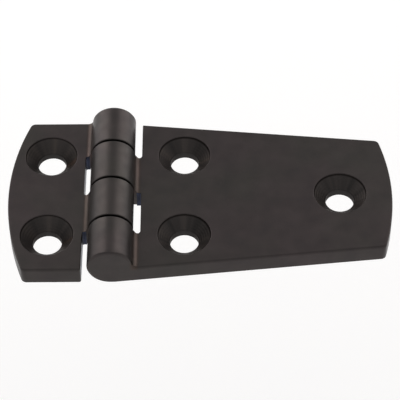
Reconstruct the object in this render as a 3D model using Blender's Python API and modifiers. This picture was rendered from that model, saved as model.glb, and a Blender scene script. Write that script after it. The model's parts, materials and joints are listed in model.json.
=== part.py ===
"""Strap hinge: a short leaf and a long tapering leaf, knuckled together on a hidden pin.

Metres, +Z up. The mounting plane is z = 0, +X runs towards the tip of the long leaf and +Y
along the barrel. The origin is under the middle of the hinge lying flat open. Both leaves and
the pin have their own origin on the hinge axis, and are drawn from there.
"""

import math

import bmesh
import bpy

MM = 0.001

# Leaves
WIDTH = 38.4 * MM
THICKNESS = 3.8 * MM
SHORT_REACH = 20.4 * MM
LONG_REACH = 55.0 * MM
SHORT_BOW = 52.5 * MM
LONG_BOW = 49.0 * MM
CORNER = 1.1 * MM
TAPER_START = 0.9 * MM
TAPER_SLOPE = 0.1015

# Barrel, which is tangent to the mounting plane
BARREL_RADIUS = 4.35 * MM
FILLET = 1.1 * MM
KNUCKLES = (9.1 * MM, 9.75 * MM, 9.95 * MM, 9.6 * MM)
KNUCKLE_GAP = 0.5 * MM
POCKET_REACH = 4.75 * MM

# Slots through the leaves beside the other leaf's knuckles
SLOT_INNER = 4.45 * MM
SHORT_EDGE = 5.55 * MM
LONG_EDGE = 5.7 * MM
SLOT_CORNER = 0.3 * MM
SLOT_OVERRUN = 0.5 * MM
SLOT_SETBACK = 0.05 * MM

# Pin and its blind bore, open at the back end of the barrel
PIN_RADIUS = 2.5 * MM
PIN_CLEARANCE = 0.1 * MM
PIN_CHAMFER = 0.3 * MM
PIN_RECESS = 0.4 * MM
BLIND_WALL = 2.2 * MM
BLIND_GAP = 0.3 * MM

# Screw holes, (x, y) from the hinge axis. A straight lip runs round the top of each
# countersink, and a straight land below its cone.
SHORT_HOLES = ((12.4 * MM, 10.3 * MM), (12.4 * MM, -10.3 * MM))
LONG_HOLES = ((14.2 * MM, 10.3 * MM), (14.2 * MM, -10.3 * MM), (44.8 * MM, 0.0))
HOLE_RADIUS = 2.8 * MM
HEAD_RADIUS = 5.15 * MM
SHORT_SEAT = (0.2 * MM, 1.2 * MM)
LONG_SEAT = (0.4 * MM, 1.4 * MM)

OVERCUT = 3.0 * MM
AXIS_X = (SHORT_REACH - LONG_REACH) / 2
UNDERSIDE = -BARREL_RADIUS
LEAF_TOP = THICKNESS - BARREL_RADIUS

BARREL_STEPS = 90
SMALL_ARC_STEPS = 10
BOW_STEPS = 32
HOLE_STEPS = 72
PIN_STEPS = 64

BRONZE = (0.060, 0.053, 0.050, 1.0)
STEEL = (0.42, 0.41, 0.40, 1.0)


def clear_scene():
    for obj in list(bpy.data.objects):
        bpy.data.objects.remove(obj)


def new_collection(name, is_hidden):
    collection = bpy.data.collections.new(name)
    collection.hide_render = is_hidden
    bpy.context.scene.collection.children.link(collection)
    return collection


def metal(name, color, roughness):
    material = bpy.data.materials.new(name)
    material.use_nodes = True
    shader = material.node_tree.nodes["Principled BSDF"]
    shader.inputs["Base Color"].default_value = color
    shader.inputs["Metallic"].default_value = 0.9
    shader.inputs["Roughness"].default_value = roughness
    return material


def arc(centre, radius, start, end, steps):
    """Points on a circle from angle start to angle end, both included."""
    angles = [start + (end - start) * step / steps for step in range(steps + 1)]
    return [(centre[0] + radius * math.cos(a), centre[1] + radius * math.sin(a)) for a in angles]


def mirrored(points, side):
    return [(side * x, y) for x, y in points]


def add_mesh(name, bm, collection):
    bmesh.ops.recalc_face_normals(bm, faces=bm.faces)
    mesh = bpy.data.meshes.new(name)
    bm.to_mesh(mesh)
    bm.free()
    obj = bpy.data.objects.new(name, mesh)
    collection.objects.link(obj)
    return obj


def add_prism(name, outline, low, high, collection):
    """The closed outline, extruded from low to high along its local Z."""
    curve = bpy.data.curves.new(name, "CURVE")
    curve.dimensions = "2D"
    curve.fill_mode = "BOTH"
    curve.extrude = (high - low) / 2
    spline = curve.splines.new("POLY")
    spline.points.add(len(outline) - 1)
    for point, (x, y) in zip(spline.points, outline):
        point.co = (x, y, 0.0, 1.0)
    spline.use_cyclic_u = True
    guide = bpy.data.objects.new(name + "_curve", curve)
    collection.objects.link(guide)
    graph = bpy.context.evaluated_depsgraph_get()
    mesh = bpy.data.meshes.new_from_object(guide.evaluated_get(graph))
    bm = bmesh.new()
    bm.from_mesh(mesh)
    bmesh.ops.remove_doubles(bm, verts=bm.verts, dist=0.001 * MM)
    bmesh.ops.translate(bm, verts=bm.verts, vec=(0.0, 0.0, (high + low) / 2))
    bpy.data.objects.remove(guide)
    return add_mesh(name, bm, collection)


def as_cutter(obj, axis):
    obj.parent = axis
    obj.hide_render = True
    obj.display_type = "WIRE"
    return obj


def combine(obj, cutter, operation):
    boolean = obj.modifiers.new(cutter.name, "BOOLEAN")
    boolean.object = cutter
    boolean.operation = operation
    boolean.solver = "EXACT"


def leaf_section(reach):
    """Outline across the hinge axis: the barrel, the fillet and the leaf, run on past its end."""
    centre_y = LEAF_TOP + FILLET
    centre = (math.sqrt((BARREL_RADIUS + FILLET) ** 2 - centre_y**2), centre_y)
    touch = math.atan2(centre[1], centre[0])
    fillet = arc(centre, FILLET, 1.5 * math.pi, math.pi + touch, SMALL_ARC_STEPS)
    barrel = arc((0.0, 0.0), BARREL_RADIUS, touch, 1.5 * math.pi, BARREL_STEPS)
    end = reach + OVERCUT
    return [(end, UNDERSIDE), (end, LEAF_TOP)] + fillet + barrel[1:]


def plan_outline(reach, bow, slope):
    """Outline from above: straight sides, a bowed end and a rounded corner between them."""
    half = WIDTH / 2
    tilt = math.atan(slope)
    along = (math.cos(tilt), -math.sin(tilt))
    outward = (math.sin(tilt), math.cos(tilt))
    bow_centre = reach - bow
    start = (TAPER_START - CORNER * outward[0] - bow_centre, half - CORNER * outward[1])
    back = start[0] * along[0] + start[1] * along[1]
    square = back**2 - start[0] ** 2 - start[1] ** 2 + (bow - CORNER) ** 2
    run = math.sqrt(square) - back
    corner = (bow_centre + start[0] + run * along[0], start[1] + run * along[1])
    turn = math.atan2(corner[1], corner[0] - bow_centre)
    rounded = arc(corner, CORNER, math.pi / 2 - tilt, turn, SMALL_ARC_STEPS)
    bowed = arc((bow_centre, 0.0), bow, turn, -turn, BOW_STEPS)
    upper = [(-BARREL_RADIUS - OVERCUT, half), (TAPER_START, half)] + rounded
    lower = [(x, -y) for x, y in reversed(upper)]
    return upper + bowed[1:-1] + lower


def slot_outline(edge, low, high):
    """Outline from above of a slot beside a knuckle: square at the back, round at the front."""
    inner, outer, top = SLOT_INNER + SLOT_CORNER, edge - SLOT_CORNER, high - SLOT_CORNER
    radius = (edge - SLOT_INNER) / 2
    back_outer = arc((outer, top), SLOT_CORNER, 0.0, math.pi / 2, SMALL_ARC_STEPS)
    back_inner = arc((inner, top), SLOT_CORNER, math.pi / 2, math.pi, SMALL_ARC_STEPS)
    middle = (SLOT_INNER + radius, low + radius)
    front = arc(middle, radius, math.pi, 2 * math.pi, SMALL_ARC_STEPS)
    return back_outer + back_inner + front


def knuckle_ends(index, front, back):
    """Where a knuckle ends along Y, counted from the back, with extra room at its inner ends."""
    high = WIDTH / 2 - sum(KNUCKLES[:index])
    low = high - KNUCKLES[index]
    is_first = index == 0
    is_last = index == len(KNUCKLES) - 1
    return low - (OVERCUT if is_last else front), high + (OVERCUT if is_first else back)


def cut_pocket(leaf, index, side, edge, axis, cutters):
    """Makes room in a leaf for the other leaf's knuckle: the knuckle's width, then a slot."""
    low, high = knuckle_ends(index, KNUCKLE_GAP / 2, KNUCKLE_GAP / 2)
    inner, outer = -BARREL_RADIUS - OVERCUT, POCKET_REACH
    square = [(inner, low), (outer, low), (outer, high), (inner, high)]
    slot = slot_outline(edge, *knuckle_ends(index, SLOT_OVERRUN, -SLOT_SETBACK))
    reach_down, reach_up = UNDERSIDE - OVERCUT, BARREL_RADIUS + OVERCUT
    for kind, outline in (("pocket", square), ("slot", slot)):
        name = f"{leaf.name}_{kind}_{index + 1}"
        points = mirrored(outline, side)
        cutter = as_cutter(add_prism(name, points, reach_down, reach_up, cutters), axis)
        combine(leaf, cutter, "DIFFERENCE")


def add_screw_hole(name, x, y, seat, axis, cutters):
    """Cutter for a countersunk hole, turned about its own axis."""
    lip, land = seat
    profile = [
        (0.0, LEAF_TOP + OVERCUT),
        (HEAD_RADIUS, LEAF_TOP + OVERCUT),
        (HEAD_RADIUS, LEAF_TOP - lip),
        (HOLE_RADIUS, UNDERSIDE + land),
        (HOLE_RADIUS, UNDERSIDE - OVERCUT),
        (0.0, UNDERSIDE - OVERCUT),
    ]
    bm = bmesh.new()
    verts = [bm.verts.new((radius, 0.0, z)) for radius, z in profile]
    for upper, lower in zip(verts, verts[1:]):
        bm.edges.new((upper, lower))
    cutter = as_cutter(add_mesh(name, bm, cutters), axis)
    cutter.location = (x, y, 0.0)
    screw = cutter.modifiers.new("turn", "SCREW")
    screw.steps = HOLE_STEPS
    screw.render_steps = HOLE_STEPS
    screw.use_merge_vertices = True
    screw.merge_threshold = 0.01 * MM
    return cutter


def add_cylinder(name, radius, steps, low, high, collection):
    """A cylinder about the hinge axis, from low to high along Y."""
    bm = bmesh.new()
    bmesh.ops.create_cone(
        bm, cap_ends=True, segments=steps, radius1=radius, radius2=radius, depth=high - low
    )
    obj = add_mesh(name, bm, collection)
    obj.rotation_euler = (math.pi / 2, 0.0, 0.0)
    obj.location = (0.0, (low + high) / 2, 0.0)
    return obj


def finish(obj, material, axis):
    obj.parent = axis
    obj.data.materials.append(material)
    obj.data.shade_smooth()
    obj.data.set_sharp_from_angle(angle=math.radians(30))


def add_leaf(name, side, plan, edge, others, holes, seat, bore, axis, parts, cutters):
    """One leaf: barrel, fillet and plate in one casting, then everything that is cut from it.

    side is 1 for the leaf towards +X and -1 for the one towards -X. plan is its reach, the
    radius of its bowed end and the slope of its sides. edge is how far its inner edge is from
    the hinge axis, and others are the other leaf's knuckles, which it makes room for.
    """
    reach, bow, slope = plan
    section = mirrored(leaf_section(reach), side)
    length = WIDTH + 2 * OVERCUT
    leaf = add_prism(name, section, -length / 2, length / 2, parts)
    leaf.rotation_euler = (math.pi / 2, 0.0, 0.0)
    outline = mirrored(plan_outline(reach, bow, slope), side)
    reach_down, reach_up = UNDERSIDE - OVERCUT, BARREL_RADIUS + OVERCUT
    trim = as_cutter(add_prism(name + "_plan", outline, reach_down, reach_up, cutters), axis)
    combine(leaf, trim, "INTERSECT")
    for index in others:
        cut_pocket(leaf, index, side, edge, axis, cutters)
    for number, (x, y) in enumerate(holes, 1):
        hole = add_screw_hole(f"{name}_hole_{number}", side * x, y, seat, axis, cutters)
        combine(leaf, hole, "DIFFERENCE")
    combine(leaf, bore, "DIFFERENCE")
    finish(leaf, metal(name, BRONZE, 0.42), axis)


def add_pin(axis, parts):
    """The pin, chamfered at both ends and set a little into the back end of its bore."""
    low = -WIDTH / 2 + BLIND_WALL + BLIND_GAP
    pin = add_cylinder("hinge_pin", PIN_RADIUS, PIN_STEPS, low, WIDTH / 2 - PIN_RECESS, parts)
    chamfer = pin.modifiers.new("chamfer", "BEVEL")
    chamfer.width = PIN_CHAMFER
    chamfer.segments = 1
    chamfer.limit_method = "ANGLE"
    chamfer.angle_limit = math.radians(60)
    finish(pin, metal("hinge_pin", STEEL, 0.3), axis)


def main():
    clear_scene()
    parts = new_collection("strap_hinge", False)
    cutters = new_collection("cutters", True)
    axis = bpy.data.objects.new("hinge_axis", None)
    axis.location = (AXIS_X, 0.0, BARREL_RADIUS)
    parts.objects.link(axis)

    bore_low, bore_high = -WIDTH / 2 + BLIND_WALL, WIDTH / 2 + OVERCUT
    bore_radius = PIN_RADIUS + PIN_CLEARANCE
    bore = add_cylinder("pin_bore", bore_radius, PIN_STEPS, bore_low, bore_high, cutters)
    as_cutter(bore, axis)

    shared = (bore, axis, parts, cutters)
    short_plan = (SHORT_REACH, SHORT_BOW, 0.0)
    long_plan = (LONG_REACH, LONG_BOW, TAPER_SLOPE)
    add_leaf("short_leaf", -1, short_plan, SHORT_EDGE, (1, 3), SHORT_HOLES, SHORT_SEAT, *shared)
    add_leaf("long_leaf", 1, long_plan, LONG_EDGE, (0, 2), LONG_HOLES, LONG_SEAT, *shared)
    add_pin(axis, parts)


main()
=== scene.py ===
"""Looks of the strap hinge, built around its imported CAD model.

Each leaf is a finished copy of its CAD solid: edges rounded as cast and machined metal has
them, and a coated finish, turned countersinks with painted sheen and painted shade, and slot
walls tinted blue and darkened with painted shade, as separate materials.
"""

import json
import math

import bmesh
import bpy
from mathutils import Matrix, Vector


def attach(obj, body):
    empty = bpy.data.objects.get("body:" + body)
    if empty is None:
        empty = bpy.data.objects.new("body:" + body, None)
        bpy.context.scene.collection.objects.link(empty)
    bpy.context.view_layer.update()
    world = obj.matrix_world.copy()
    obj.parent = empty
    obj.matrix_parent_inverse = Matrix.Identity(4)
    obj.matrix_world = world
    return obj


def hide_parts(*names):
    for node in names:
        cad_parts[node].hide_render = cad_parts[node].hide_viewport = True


MM = 0.001

# Camera, aimed at a point on the mounting plane
CAMERA_TARGET = (-0.06 * MM, 1.7 * MM, 0.0)
CAMERA_DISTANCE = 390.4 * MM
CAMERA_ELEVATION = 48.65
CAMERA_YAW = 0.50
CAMERA_ROLL = -0.77
CAMERA_LENS = 177.0
SENSOR_WIDTH = 36.0

# Sizes of the CAD solids that tell one kind of edge or face from another
LEAF_TOP = 3.8 * MM
HEAD_RADIUS = 5.15 * MM
HOLE_RADIUS = 2.8 * MM
PIN_BORE = 2.6 * MM
INSIDE = 18.5 * MM  # from the middle along Y, short of the barrel's end faces
BARREL_SIDE = 3.9 * MM  # this and the next two are distances from the barrel's axis
SLOT_NEAR = 4.4 * MM
SLOT_FAR = 5.75 * MM
NEAR = 0.06 * MM

# Shares of a face's normal along an axis: over FACING it faces that way, under SIDEWAYS it doesn't
FACING = 0.9
SIDEWAYS = 0.2

# Clean-up of the CAD meshes, before their edges are rounded
MERGE_DISTANCE = 0.0005 * MM
CUT_DISTANCE = 0.01 * MM
FLAT_ANGLE = 0.8

# Rounding of the edges: widest along the upper front edges and over the top of the barrel's ends
WIDEST_ROUNDING = 0.5 * MM
OUTER_ROUNDING = 0.2 * MM
KNUCKLE_ROUNDING = 0.18 * MM
RIM_ROUNDING = 0.16 * MM
SLOT_ROUNDING = 0.05 * MM
BORE_ROUNDING = 0.06 * MM
PIN_ROUNDING = 0.08 * MM
BARREL_RISE = 3.0 * MM  # above a leaf's top, where the rounding is at its widest
LOW_SHARE = 0.4  # of the extra width, at the mounting plane
SHARP_ANGLE = 25.0
ROUND_SEGMENTS = 4

# Places in a leaf's list of materials
COATING = 0
SLOT_WALL = 1
FIRST_COUNTERSINK = 2

# The warm stretch in the fillets, by distance from the barrel's axis
FILLET_SPAN = (3.7 * MM, 5.1 * MM)
FILLET_RISE = 0.8 * MM
FILLET_FADE = 0.6 * MM

# Colours, and palettes of (place in the noise, red, green, blue)
WHITE = (1.0, 1.0, 1.0, 1.0)
BRONZE_TONES = ((0.3, 0.048, 0.043, 0.042), (0.5, 0.053, 0.047, 0.045), (0.7, 0.058, 0.051, 0.049))
BRONZE_HUES = ((0.35, 0.98, 1.01, 0.99), (0.65, 1.03, 0.98, 1.02))
FILLET_TINT = (1.12, 0.98, 0.90, 1.0)
# Tones of the turned countersinks: radial streaks that paint the sheen of a turned cone, with a little copper
# colour at the top
TURNED_TONES_AND_SHEEN = (
    (0.34, 0.036, 0.033, 0.032),
    (0.50, 0.050, 0.044, 0.042),
    (0.62, 0.060, 0.052, 0.048),
    (0.74, 0.086, 0.062, 0.051),
)
# Painted shade: near black on the countersinks' rims and dark in the bores, where these hollows lie in shade
RIM_PAINTED_SHADE = (0.018, 0.015, 0.014, 1.0)
BORE_PAINTED_SHADE = (0.040, 0.038, 0.037, 1.0)
TURNED_SPECULAR = (0.6, 0.58, 0.57, 1.0)
# Slot walls: a blue tint of the coating, and darker than the coating outside, a painted shade inside the slots
SLOT_TONES_AND_SHADE = ((0.35, 0.018, 0.020, 0.030), (0.65, 0.032, 0.037, 0.062))
STEEL_TONES = ((0.3, 0.34, 0.335, 0.33), (0.7, 0.46, 0.45, 0.44))
NOISE_SPREAD = (0.3, 0.7)  # most of a noise lies in this span

# Roughness where a noise is low and where it is high
BRONZE_ROUGHNESS = (0.36, 0.47)
TURNED_ROUGHNESS = (0.54, 0.42)
SLOT_ROUGHNESS = (0.34, 0.46)
STEEL_ROUGHNESS = (0.22, 0.36)

# Heights of the marks left by casting, coating and turning
CAST_GRAIN = 0.006 * MM
SLOT_GRAIN = 0.008 * MM
TURNING_MARKS = 0.008 * MM
GRINDING_MARKS = 0.003 * MM
TURNING_PITCH = 0.42 * MM
GRINDING_STRETCH = 40.0

# Streaks of painted sheen round a countersink: the scale grows from hole to hole, so that no two are alike
STREAK_SCALE = 1.3
STREAK_STEP = 0.15

# Studio: a pale floor well below the hinge, a tent of light, and a softbox behind on each side
FLOOR_DEPTH = 110.0 * MM
FLOOR_SIZE = 12.0
FLOOR_COLOR = (0.9, 0.9, 0.9, 1.0)
FLOOR_GLOW = 0.2
TENT_HORIZON = 1.0
TENT_OVERHEAD = 0.62
TENT_FADE = (0.1, 0.6)  # heights, on a sphere of radius 1, between which the light fades
SOFTBOX_PLACE = (0.42, 0.54, 0.32)
SOFTBOX_SIZE = (0.26, 0.8)
SOFTBOX_COLOR = (1.0, 0.95, 0.93)
LEFT_RADIANCE = 2.15
RIGHT_RADIANCE = 1.85


def principled(name):
    """A new material, its node tree and its Principled shader."""
    material = bpy.data.materials.new(name)
    material.use_nodes = True
    return material, material.node_tree, material.node_tree.nodes["Principled BSDF"]


def add_node(tree, kind, values=(), **settings):
    """A shader node of a kind, with settings on the node and values in its inputs, by index."""
    node = tree.nodes.new("ShaderNode" + kind)
    for name, value in settings.items():
        setattr(node, name, value)
    for index, value in values:
        node.inputs[index].default_value = value
    return node


def add_noise(tree, vector, scale, detail):
    """Noise between 0 and 1, at a scale in cycles per unit of its vector."""
    noise = add_node(tree, "TexNoise")
    noise.inputs["Scale"].default_value = scale
    noise.inputs["Detail"].default_value = detail
    tree.links.new(vector, noise.inputs["Vector"])
    return noise.outputs["Fac"]


def add_ramp(tree, value, stops):
    """Colours along a value, from (position, red, green, blue) stops."""
    ramp = add_node(tree, "ValToRGB")
    elements = ramp.color_ramp.elements
    while len(elements) < len(stops):
        elements.new(0.5)
    for element, (position, *color) in zip(elements, stops):
        element.position = position
        element.color = (*color, 1.0)
    tree.links.new(value, ramp.inputs["Fac"])
    return ramp.outputs["Color"]


def add_mix(tree, factor, first, second, blend="MIX"):
    """Two colours mixed. Each input is a value or the socket that it comes from."""
    mix = add_node(tree, "Mix", data_type="RGBA", blend_type=blend)
    for socket, value in ((mix.inputs[0], factor), (mix.inputs[6], first), (mix.inputs[7], second)):
        if isinstance(value, bpy.types.NodeSocket):
            tree.links.new(value, socket)
        else:
            socket.default_value = value
    return mix.outputs[2]


def add_range(tree, value, source, target):
    """A value carried from one range to another, and kept inside it."""
    limits = (*source, *target)
    scaled = add_node(tree, "MapRange", [(index + 1, limit) for index, limit in enumerate(limits)])
    tree.links.new(value, scaled.inputs["Value"])
    return scaled.outputs["Result"]


def add_bump(tree, shader, height, distance):
    """Relief on a shader, from a height of which one unit stands for a distance."""
    bump = add_node(tree, "Bump")
    bump.inputs["Distance"].default_value = distance
    tree.links.new(height, bump.inputs["Height"])
    tree.links.new(bump.outputs["Normal"], shader.inputs["Normal"])


def add_metal(tree, shader, color, roughness):
    """Turns a shader to metal with a colour and a roughness from other nodes."""
    shader.inputs["Metallic"].default_value = 1.0
    tree.links.new(color, shader.inputs["Base Color"])
    tree.links.new(roughness, shader.inputs["Roughness"])


def object_coordinates(tree):
    return add_node(tree, "TexCoord").outputs["Object"]


def fillet_mask(tree, place, axis):
    """1 in the fillets on both sides of the barrel, fading to 0 over the barrel and leaves."""
    offset = add_node(tree, "VectorMath", [(1, tuple(axis))], operation="SUBTRACT")
    size = add_node(tree, "VectorMath", operation="ABSOLUTE")
    away = add_node(tree, "SeparateXYZ")
    tree.links.new(place, offset.inputs[0])
    tree.links.new(offset.outputs[0], size.inputs[0])
    tree.links.new(size.outputs[0], away.inputs[0])
    mask = None
    for side, edge, ends in (
        ("X", FILLET_SPAN[0], (0.0, 1.0)),
        ("X", FILLET_SPAN[1], (1.0, 0.0)),
        ("Z", FILLET_RISE, (1.0, 0.0)),
    ):
        fade = add_range(tree, away.outputs[side], (edge, edge + FILLET_FADE), ends)
        product = add_node(tree, "Math", [(1, 1.0)], operation="MULTIPLY")
        tree.links.new(fade, product.inputs[0])
        if mask:
            tree.links.new(mask, product.inputs[1])
        mask = product.outputs[0]
    return mask


def leaf_finish(axis):
    """Satin bronze coating: mottled in tone and hue, warmer in the fillets, on a cast grain."""
    material, tree, shader = principled("leaf_finish")
    place = object_coordinates(tree)
    tone = add_ramp(tree, add_noise(tree, place, scale=260.0, detail=4.0), BRONZE_TONES)
    hue = add_ramp(tree, add_noise(tree, place, scale=70.0, detail=2.0), BRONZE_HUES)
    color = add_mix(tree, 1.0, tone, hue, "MULTIPLY")
    warm = add_mix(tree, 1.0, color, FILLET_TINT, "MULTIPLY")
    color = add_mix(tree, fillet_mask(tree, place, axis), color, warm)
    cloud = add_noise(tree, place, scale=420.0, detail=3.0)
    grain = add_noise(tree, place, scale=3200.0, detail=3.0)
    add_metal(tree, shader, color, add_range(tree, cloud, NOISE_SPREAD, BRONZE_ROUGHNESS))
    add_bump(tree, shader, grain, CAST_GRAIN)
    return material


def countersink(number, hole):
    """Turned metal round one hole: rings, radial streaks of painted sheen with a little copper, and painted shade
    on the rim and in the bore.
    """
    material, tree, shader = principled(f"countersink_{number}")
    offset = add_node(tree, "VectorMath", [(1, (hole.x, hole.y, 0.0))], operation="SUBTRACT")
    flat = add_node(tree, "VectorMath", [(1, (1.0, 1.0, 0.0))], operation="MULTIPLY")
    radius = add_node(tree, "VectorMath", operation="LENGTH")
    heading = add_node(tree, "VectorMath", operation="NORMALIZE")
    tree.links.new(object_coordinates(tree), offset.inputs[0])
    tree.links.new(offset.outputs[0], flat.inputs[0])
    tree.links.new(flat.outputs[0], radius.inputs[0])
    tree.links.new(flat.outputs[0], heading.inputs[0])
    distance = radius.outputs["Value"]
    # Painted sheen: tone in radial streaks, by heading round the hole
    sheen_streaks = add_noise(tree, heading.outputs[0], scale=STREAK_SCALE + number * STREAK_STEP, detail=2.5)
    tone = add_ramp(tree, sheen_streaks, TURNED_TONES_AND_SHEEN)
    # Painted shade, darkest at the rim's lip and in the bore
    rim_shade = add_range(tree, distance, (HEAD_RADIUS - 3 * NEAR, HEAD_RADIUS - NEAR), (0.0, 1.0))
    bore_shade = add_range(tree, distance, (HOLE_RADIUS, HOLE_RADIUS + 4 * NEAR), (1.0, 0.0))
    color = add_mix(tree, rim_shade, tone, RIM_PAINTED_SHADE)
    color = add_mix(tree, bore_shade, color, BORE_PAINTED_SHADE)
    turns = add_node(tree, "Math", [(1, 2 * math.pi / TURNING_PITCH)], operation="MULTIPLY")
    wave = add_node(tree, "Math", operation="SINE")
    tree.links.new(distance, turns.inputs[0])
    tree.links.new(turns.outputs[0], wave.inputs[0])
    add_metal(tree, shader, color, add_range(tree, sheen_streaks, NOISE_SPREAD, TURNED_ROUGHNESS))
    add_bump(tree, shader, wave.outputs[0], TURNING_MARKS)
    shader.inputs["Specular Tint"].default_value = TURNED_SPECULAR
    return material


def slot_wall():
    """The coating inside the slots, thicker and bluer than on the open faces, and darker: a painted shade of the
    slots' hollows.
    """
    material, tree, shader = principled("slot_wall")
    place = object_coordinates(tree)
    color = add_ramp(tree, add_noise(tree, place, scale=500.0, detail=3.0), SLOT_TONES_AND_SHADE)
    grain = add_noise(tree, place, scale=2500.0, detail=3.0)
    add_metal(tree, shader, color, add_range(tree, grain, NOISE_SPREAD, SLOT_ROUGHNESS))
    add_bump(tree, shader, grain, SLOT_GRAIN)
    return material


def pin_steel():
    """Ground stainless bar, with fine marks round it and a few dull patches."""
    material, tree, shader = principled("pin_steel")
    place = object_coordinates(tree)
    along = (1.0, GRINDING_STRETCH, 1.0)
    stretch = add_node(tree, "VectorMath", [(1, along)], operation="MULTIPLY")
    tree.links.new(place, stretch.inputs[0])
    marks = add_noise(tree, stretch.outputs[0], scale=180.0, detail=4.0)
    color = add_ramp(tree, marks, STEEL_TONES)
    dull = add_noise(tree, place, scale=350.0, detail=3.0)
    add_metal(tree, shader, color, add_range(tree, dull, NOISE_SPREAD, STEEL_ROUGHNESS))
    add_bump(tree, shader, marks, GRINDING_MARKS)
    return material


def hole_centres(record):
    """The screw holes, each as the middle of the open space that is stated in its seat."""
    boxes = [opening["box_m"] for opening in record["physics"]["openings"]]
    return [(Vector(low) + Vector(high)) / 2 for low, high in boxes]


def outer_rounding(edge):
    """Rounding of an outside edge: wider to the front and up the barrel, narrower low down."""
    side = min(face.normal.y for face in edge.link_faces)
    height = sum(vert.co.z for vert in edge.verts) / 2
    rise = (height - LEAF_TOP) / BARREL_RISE
    share = min(1.0, max(-side, rise, 0.0)) * min(1.0, LOW_SHARE + height / LEAF_TOP)
    return OUTER_ROUNDING + share * (WIDEST_ROUNDING - OUTER_ROUNDING)


def rounding_of(edge, axis, holes):
    """How far an edge of a leaf is rounded off: not at all if it is shallow or hollow."""
    if len(edge.link_faces) != 2 or not edge.is_convex:
        return 0.0
    if edge.calc_face_angle() < math.radians(SHARP_ANGLE):
        return 0.0
    ends = [vert.co for vert in edge.verts]
    for hole in holes:
        spans = [(end - hole).xy.length for end in ends]
        if all(abs(span - HEAD_RADIUS) < NEAR for span in spans):
            return RIM_ROUNDING
        if all(abs(span - HOLE_RADIUS) < NEAR for span in spans):
            return BORE_ROUNDING
    if all(math.hypot(end.x - axis.x, end.z - axis.z) < PIN_BORE + NEAR for end in ends):
        return BORE_ROUNDING
    across = max(abs(end.x - axis.x) for end in ends)
    if across > SLOT_FAR or any(abs(end.y) > INSIDE for end in ends):
        return outer_rounding(edge)
    share = min(1.0, max(0.0, (across - BARREL_SIDE) / (SLOT_NEAR - BARREL_SIDE)))
    return KNUCKLE_ROUNDING + share * (SLOT_ROUNDING - KNUCKLE_ROUNDING)


def pin_rounding(edge):
    return PIN_ROUNDING if edge.calc_face_angle() > math.radians(SHARP_ANGLE) else 0.0


def material_index(face, axis, holes):
    """Which of a leaf's materials a face takes: the coating, a slot wall or a countersink."""
    middle = face.calc_center_median()
    if middle.z < LEAF_TOP - NEAR / 2 and face.normal.z > -FACING:
        for number, hole in enumerate(holes):
            if (middle - hole).xy.length < HEAD_RADIUS + NEAR:
                return FIRST_COUNTERSINK + number
    is_beside = SLOT_NEAR < abs(middle.x - axis.x) < SLOT_FAR
    is_upright = abs(face.normal.z) < SIDEWAYS
    return SLOT_WALL if is_beside and is_upright and abs(middle.y) < INSIDE else COATING


def cut_across(bm, x, faces):
    """Splits faces along the plane at x, by a seam, so that none of them runs all round a hole."""
    parts = {part for face in faces for part in (face, *face.edges, *face.verts)}
    found = bmesh.ops.bisect_plane(
        bm, geom=list(parts), dist=CUT_DISTANCE, plane_co=(x, 0.0, 0.0), plane_no=(1.0, 0.0, 0.0)
    )
    for part in found["geom_cut"]:
        if isinstance(part, bmesh.types.BMEdge):
            part.seam = True


def joined_up(node, cuts):
    """A CAD node's mesh as a bmesh, with its flat faces joined up but for some cuts across.

    A cut is a place along X and whether it splits only the faces at the barrel's ends.
    """
    bm = bmesh.new()
    bm.from_mesh(node.data)
    bmesh.ops.remove_doubles(bm, verts=bm.verts, dist=MERGE_DISTANCE)
    for x, ends_only in cuts:
        faces = [face for face in bm.faces if not ends_only or abs(face.normal.y) > FACING]
        cut_across(bm, x, faces)
    bmesh.ops.dissolve_limit(
        bm,
        angle_limit=math.radians(FLAT_ANGLE),
        verts=bm.verts,
        edges=bm.edges,
        delimit={"SEAM"},
    )
    bm.normal_update()
    return bm


def finished_piece(node, body, bm, rounding_of_edge, widest, materials):
    """The piece that stands for a CAD node, with every edge rounded by its own amount.

    The roundings take the first of the piece's materials.
    """
    weights = bm.edges.layers.float.new("bevel_weight_edge")
    for edge in bm.edges:
        edge[weights] = rounding_of_edge(edge) / widest
    mesh = bpy.data.meshes.new(node + "_finished")
    bm.to_mesh(mesh)
    bm.free()
    mesh.shade_smooth()
    for material in materials:
        mesh.materials.append(material)
    piece = bpy.data.objects.new(node + "_finished", mesh)
    bpy.context.scene.collection.objects.link(piece)
    rounding = piece.modifiers.new("rounding", "BEVEL")
    rounding.limit_method = "WEIGHT"
    rounding.width = widest
    rounding.segments = ROUND_SEGMENTS
    rounding.use_clamp_overlap = False
    rounding.loop_slide = False
    rounding.material = 0
    normals = piece.modifiers.new("normals", "WEIGHTED_NORMAL")
    normals.keep_sharp = True
    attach(piece, body)
    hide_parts(node)


def add_leaf(frame, node, body, axis, holes, materials):
    cuts = [(hole.x, False) for hole in holes] + [(axis.x, True)]
    bm = joined_up(frame["nodes"][node], cuts)
    for face in bm.faces:
        face.material_index = material_index(face, axis, holes)
    finished_piece(
        node,
        body,
        bm,
        lambda edge: rounding_of(edge, axis, holes),
        WIDEST_ROUNDING,
        materials,
    )


def add_pin(frame):
    bm = joined_up(frame["nodes"]["hinge_pin"], [])
    finished_piece(
        "hinge_pin", "short_leaf_body", bm, pin_rounding, PIN_ROUNDING, [pin_steel()]
    )


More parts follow.
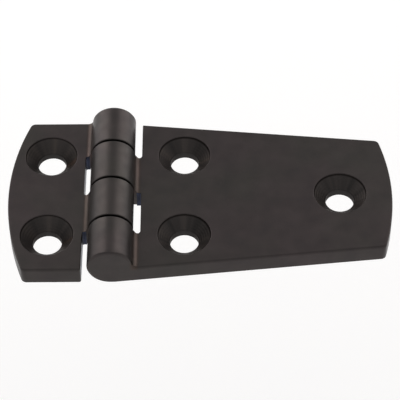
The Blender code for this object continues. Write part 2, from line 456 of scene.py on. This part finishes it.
def add_camera():
    data = bpy.data.cameras.new("camera")
    data.lens = CAMERA_LENS
    data.sensor_width = SENSOR_WIDTH
    camera = bpy.data.objects.new("camera", data)
    bpy.context.scene.collection.objects.link(camera)
    turn = (
        Matrix.Rotation(math.radians(CAMERA_YAW), 3, "Z")
        @ Matrix.Rotation(math.radians(90.0 - CAMERA_ELEVATION), 3, "X")
        @ Matrix.Rotation(math.radians(CAMERA_ROLL), 3, "Z")
    )
    place = Vector(CAMERA_TARGET) + turn.col[2] * CAMERA_DISTANCE
    camera.matrix_world = Matrix.Translation(place) @ turn.to_4x4()
    bpy.context.scene.camera = camera


def add_floor():
    mesh = bpy.data.meshes.new("floor")
    bm = bmesh.new()
    bmesh.ops.create_grid(bm, x_segments=1, y_segments=1, size=FLOOR_SIZE / 2)
    bm.to_mesh(mesh)
    bm.free()
    floor = bpy.data.objects.new("floor", mesh)
    bpy.context.scene.collection.objects.link(floor)
    floor.location.z = -FLOOR_DEPTH
    material, tree, shader = principled("floor")
    shader.inputs["Base Color"].default_value = FLOOR_COLOR
    shader.inputs["Roughness"].default_value = 1.0
    shader.inputs["Emission Color"].default_value = WHITE
    shader.inputs["Emission Strength"].default_value = FLOOR_GLOW
    mesh.materials.append(material)


def add_softbox(name, side, radiance):
    """An area light behind the hinge, to the left (-1) or right (1), turned to its middle."""
    across, back, height = SOFTBOX_PLACE
    place = (side * across, back, height)
    data = bpy.data.lights.new(name, "AREA")
    data.shape = "RECTANGLE"
    data.size, data.size_y = SOFTBOX_SIZE
    data.energy = radiance * math.pi * math.prod(SOFTBOX_SIZE)
    data.color = SOFTBOX_COLOR
    light = bpy.data.objects.new(name, data)
    bpy.context.scene.collection.objects.link(light)
    light.location = place
    light.rotation_mode = "QUATERNION"
    light.rotation_quaternion = Vector(place).to_track_quat("Z", "Y")


def add_world():
    """A tent of soft light, brightest at the horizon and dimmer overhead."""
    world = bpy.data.worlds.new("studio")
    bpy.context.scene.world = world
    world.use_nodes = True
    tree = world.node_tree
    background = tree.nodes["Background"]
    coordinates = tree.nodes.new("ShaderNodeTexCoord")
    axes = tree.nodes.new("ShaderNodeSeparateXYZ")
    fade = tree.nodes.new("ShaderNodeMapRange")
    fade.inputs["From Min"].default_value, fade.inputs["From Max"].default_value = TENT_FADE
    fade.inputs["To Min"].default_value = TENT_HORIZON
    fade.inputs["To Max"].default_value = TENT_OVERHEAD
    tree.links.new(coordinates.outputs["Generated"], axes.inputs["Vector"])
    tree.links.new(axes.outputs["Z"], fade.inputs["Value"])
    tree.links.new(fade.outputs["Result"], background.inputs["Strength"])
    background.inputs["Color"].default_value = WHITE


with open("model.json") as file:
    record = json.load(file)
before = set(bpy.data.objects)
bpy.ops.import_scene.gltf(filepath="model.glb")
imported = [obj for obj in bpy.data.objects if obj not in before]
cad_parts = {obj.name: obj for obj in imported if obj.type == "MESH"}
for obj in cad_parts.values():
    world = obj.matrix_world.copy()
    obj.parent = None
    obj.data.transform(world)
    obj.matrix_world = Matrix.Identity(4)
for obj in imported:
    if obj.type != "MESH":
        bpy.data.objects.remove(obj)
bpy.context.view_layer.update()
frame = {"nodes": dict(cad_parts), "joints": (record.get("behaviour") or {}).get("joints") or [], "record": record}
axis = Vector(frame["joints"][0]["pos_m"])
holes = hole_centres(frame["record"])
add_camera()
bpy.context.scene.view_settings.view_transform = "Standard"
sinks = [countersink(number, hole) for number, hole in enumerate(holes, 1)]
leaf_materials = [leaf_finish(axis), slot_wall(), *sinks]
for node, body in (("short_leaf", "short_leaf_body"), ("long_leaf", "long_leaf_body")):
    add_leaf(frame, node, body, axis, holes, leaf_materials)
add_pin(frame)
add_floor()
add_world()
add_softbox("left_box", -1, LEFT_RADIANCE)
add_softbox("right_box", 1, RIGHT_RADIANCE)
